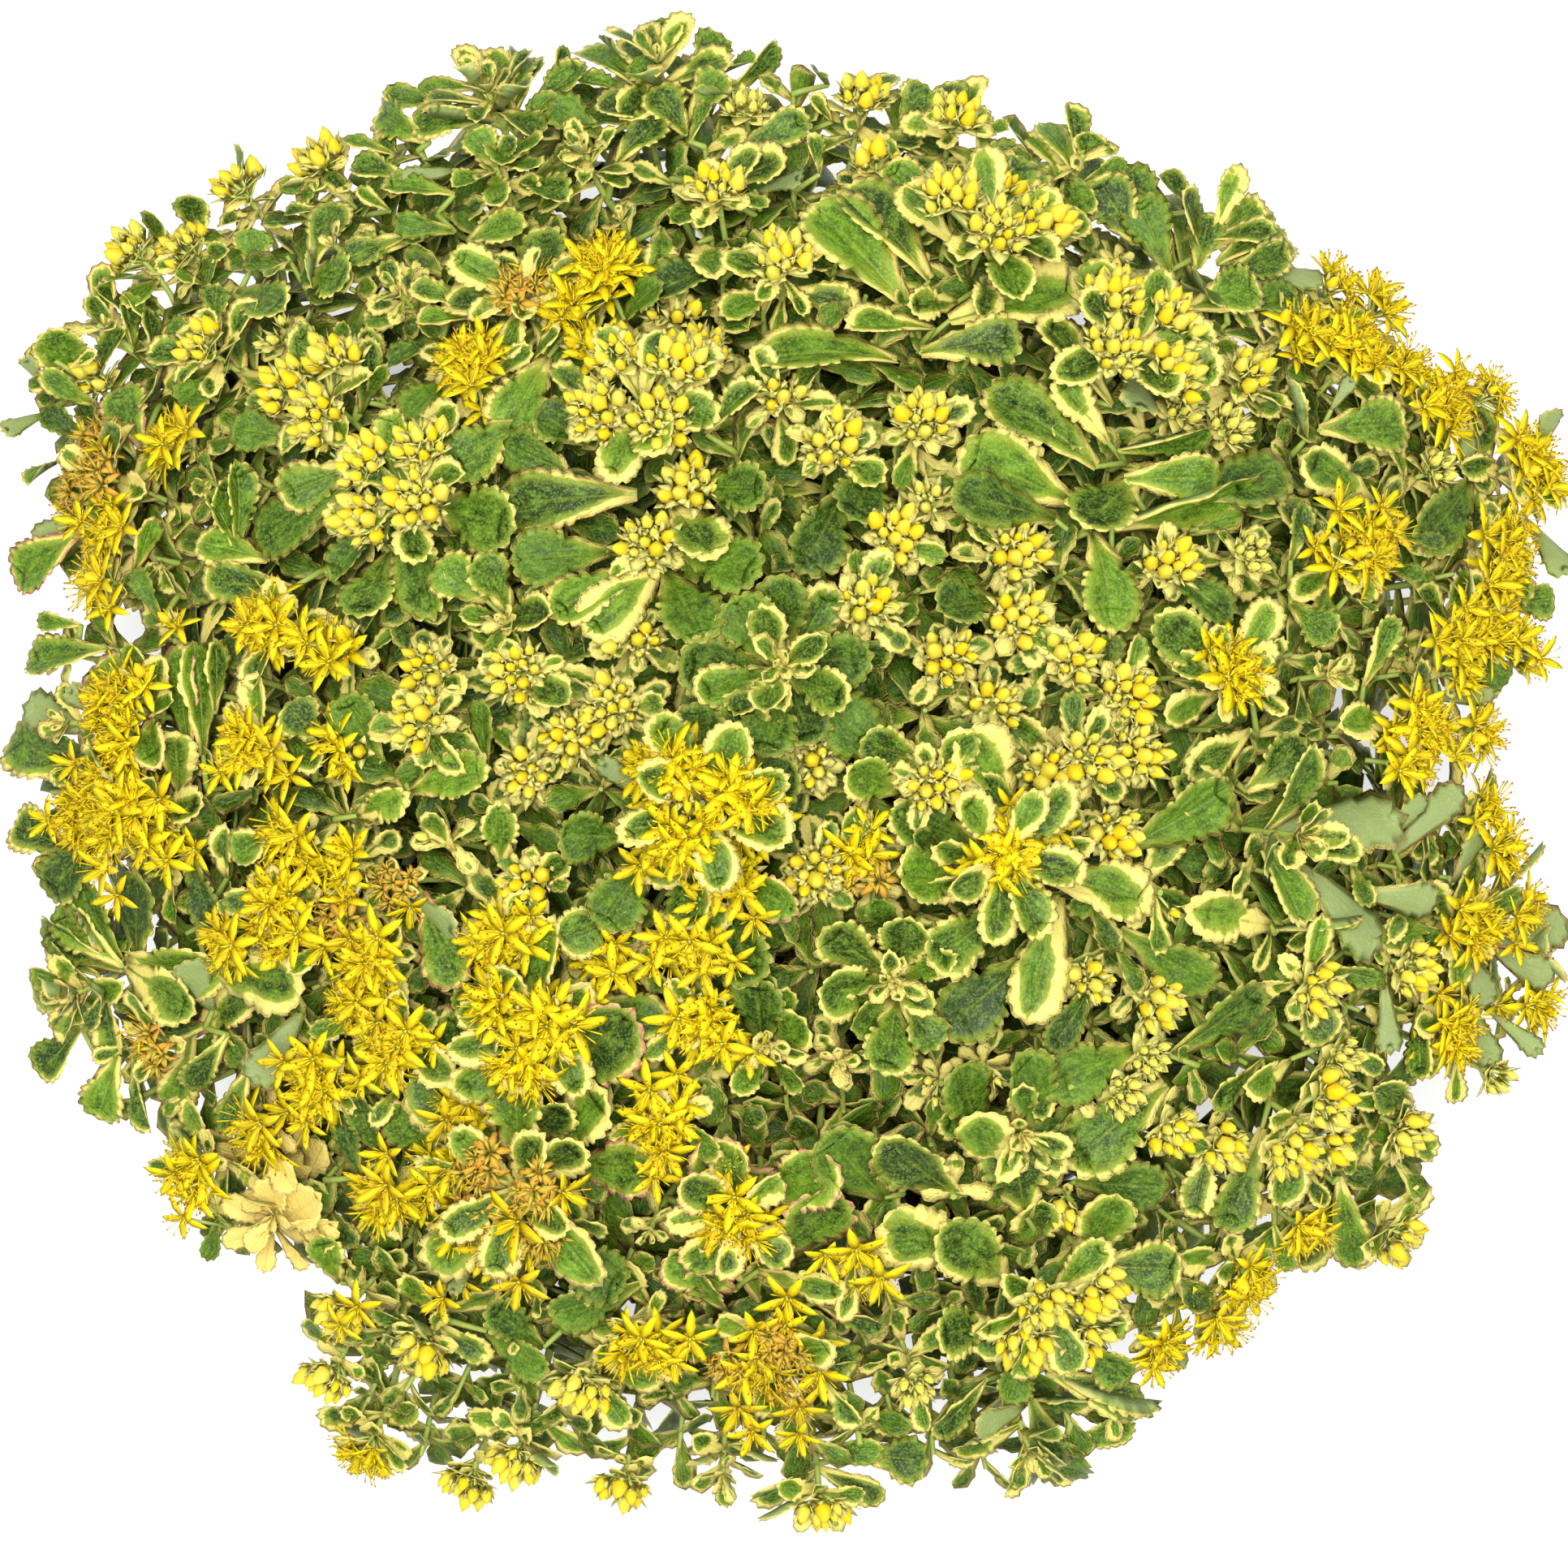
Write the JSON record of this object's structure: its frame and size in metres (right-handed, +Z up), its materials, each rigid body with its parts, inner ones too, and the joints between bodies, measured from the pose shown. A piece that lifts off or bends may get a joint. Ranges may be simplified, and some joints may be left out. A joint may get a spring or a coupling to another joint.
{
  "type": "potted stonecrop",
  "caption": "Stonecrop plant in bloom, a rounded dome of cream-edged green leaves and yellow star flowers, growing from soil in a plain black nursery pot.",
  "frame": {"origin": "centre of the pot's flat base, on the surface that it stands on", "axes": "+Z up through the pot, +Y towards the top of the picture and +X towards its right"},
  "size_m": [0.326, 0.323, 0.3087],
  "materials": {
    "pot_plastic": "glossy",
    "potting_soil": "rough",
    "foliage": "satin",
    "petals": "satin"
  },
  "bodies": {
    "root": {"flower_head_02": "petals", "flower_head_03": "petals", "flower_head_04": "petals", "flower_head_07": "petals", "flower_head_08": "petals", "flower_head_10": "petals", "flower_head_11": "petals", "flower_head_12": "petals", "flower_head_13": "petals", "flower_head_14": "petals", "flower_head_16": "petals", "flower_head_17": "petals", "flower_head_18": "petals", "flower_head_19": "petals", "flower_head_21": "petals", "flower_head_22": "petals", "flower_head_23": "petals", "flower_head_24": "petals", "flower_head_25": "petals", "flower_head_26": "petals", "flower_head_27": "petals", "flower_head_28": "petals", "flower_head_29": "petals", "flower_head_30": "petals", "flower_head_31": "petals", "flower_head_32": "petals", "leafy_stems_01": "foliage", "leafy_stems_02": "foliage", "leafy_stems_03": "foliage", "leafy_stems_04": "foliage", "leafy_stems_05": "foliage", "leafy_stems_06": "foliage", "leafy_stems_07": "foliage", "leafy_stems_08": "foliage", "leafy_stems_09": "foliage", "leafy_stems_10": "foliage", "leafy_stems_11": "foliage", "leafy_stems_12": "foliage", "leafy_stems_13": "foliage", "leafy_stems_14": "foliage", "leafy_stems_15": "foliage", "leafy_stems_16": "foliage", "leafy_stems_17": "foliage", "leafy_stems_18": "foliage", "leafy_stems_19": "foliage", "leafy_stems_20": "foliage", "leafy_stems_21": "foliage", "leafy_stems_22": "foliage", "leafy_stems_23": "foliage", "leafy_stems_24": "foliage", "leafy_stems_25": "foliage", "leafy_stems_26": "foliage", "leafy_stems_27": "foliage", "leafy_stems_28": "foliage", "leafy_stems_29": "foliage", "leafy_stems_30": "foliage", "leafy_stems_31": "foliage", "leafy_stems_32": "foliage", "pot": "pot_plastic", "soil": "potting_soil"}
  },
  "joints": []
}
